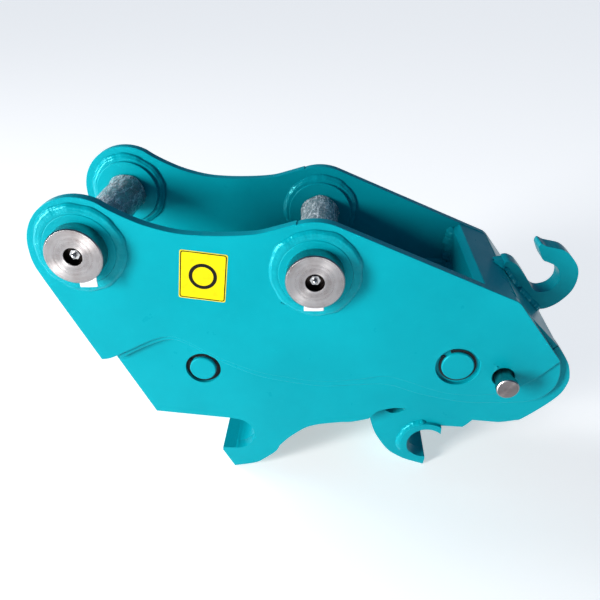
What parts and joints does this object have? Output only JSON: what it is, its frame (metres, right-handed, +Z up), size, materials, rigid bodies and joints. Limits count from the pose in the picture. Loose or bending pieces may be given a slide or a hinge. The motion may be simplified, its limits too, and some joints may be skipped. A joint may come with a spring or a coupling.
{
  "type": "quick coupler",
  "caption": "Hydraulic quick coupler for an excavator: two pinned ears, a fixed front jaw, a sliding-cylinder-driven rear hook, a lifting hook and a side safety pin.",
  "frame": {"origin": "on the stick pin's axis, midway between the two ear plates", "axes": "+X from the stick end to the lifting hook end, +Y across the width towards the pin keepers, +Z up with both jaw tips on the floor"},
  "size_m": [1.0797, 0.418, 0.654],
  "materials": {
    "paint": "gloss teal enamel over plate and weld",
    "turned_steel": "turned, lightly oiled",
    "machined_steel": "machined",
    "dark_steel": "phosphated",
    "zinc": "zinc plated",
    "chrome_rod": "hard chrome",
    "seal": "polyurethane seal"
  },
  "bodies": {
    "frame": {"near_ear_plate": "paint", "far_ear_plate": "paint", "near_side_plate": "paint", "far_side_plate": "paint", "near_doubler": "paint", "far_doubler": "paint", "near_stick_boss": "paint", "far_stick_boss": "paint", "near_link_boss": "paint", "far_link_boss": "paint", "stick_pin": "turned_steel", "link_pin": "turned_steel", "stick_pin_keeper": "paint", "link_pin_keeper": "paint", "keeper_bolts": "zinc", "keeper_nuts": "zinc", "grease_nipples": "zinc", "fixed_jaw": "paint", "front_plate": "paint", "deck_plate": "paint", "bulkhead": "paint", "cover_plate": "paint", "rear_plate": "paint", "lifting_hook": "paint", "anchor_shaft": "paint", "anchor_bushes": "dark_steel", "anchor_spacers": "dark_steel", "anchor_circlips": "dark_steel", "pivot_shaft": "paint", "pivot_bushes": "paint", "pivot_circlips": "dark_steel", "thrust_washers": "dark_steel"},
    "hook": {"near_hook_cheek": "paint", "far_hook_cheek": "paint", "hook_body": "paint", "hook_liner": "paint", "rod_clevis": "paint", "hook_bushes": "dark_steel", "rod_pin": "machined_steel", "rod_pin_clips": "dark_steel"},
    "cylinder": {"cylinder_barrel": "paint", "cylinder_base": "paint", "gland": "machined_steel", "rod_wiper": "seal", "valve_block": "dark_steel", "valve_screws": "zinc", "transfer_tube": "machined_steel"},
    "rod": {"piston_rod": "chrome_rod", "piston": "machined_steel", "piston_nut": "machined_steel", "rod_eye": "machined_steel"},
    "lock_pin": {"safety_pin": "turned_steel"}
  },
  "joints": [
    {"name": "hook_hinge", "type": "hinge", "parent": "frame", "child": "hook", "pos_m": [0.725, 0, -0.243], "axis": [0, -1, 0], "range_deg": [-16, 0]},
    {"name": "cylinder_hinge", "type": "hinge", "parent": "frame", "child": "cylinder", "pos_m": [0.205, 0, -0.281], "axis": [0, 1, 0], "range_deg": [-0.8, 0]},
    {"name": "rod_slide", "type": "slide", "parent": "cylinder", "child": "rod", "axis": [0.9899, 0, -0.142], "range_m": [-0.031, 0]},
    {"name": "safety_pin_slide", "type": "slide", "parent": "frame", "child": "lock_pin", "axis": [0, -1, 0], "range_m": [0, 0.02]}
  ],
  "couplings": [
    {"joint": "cylinder_hinge", "follows": "hook_hinge", "ratio": 0.0465},
    {"joint": "rod_slide", "follows": "hook_hinge", "m_per_rad": 0.1089}
  ]
}
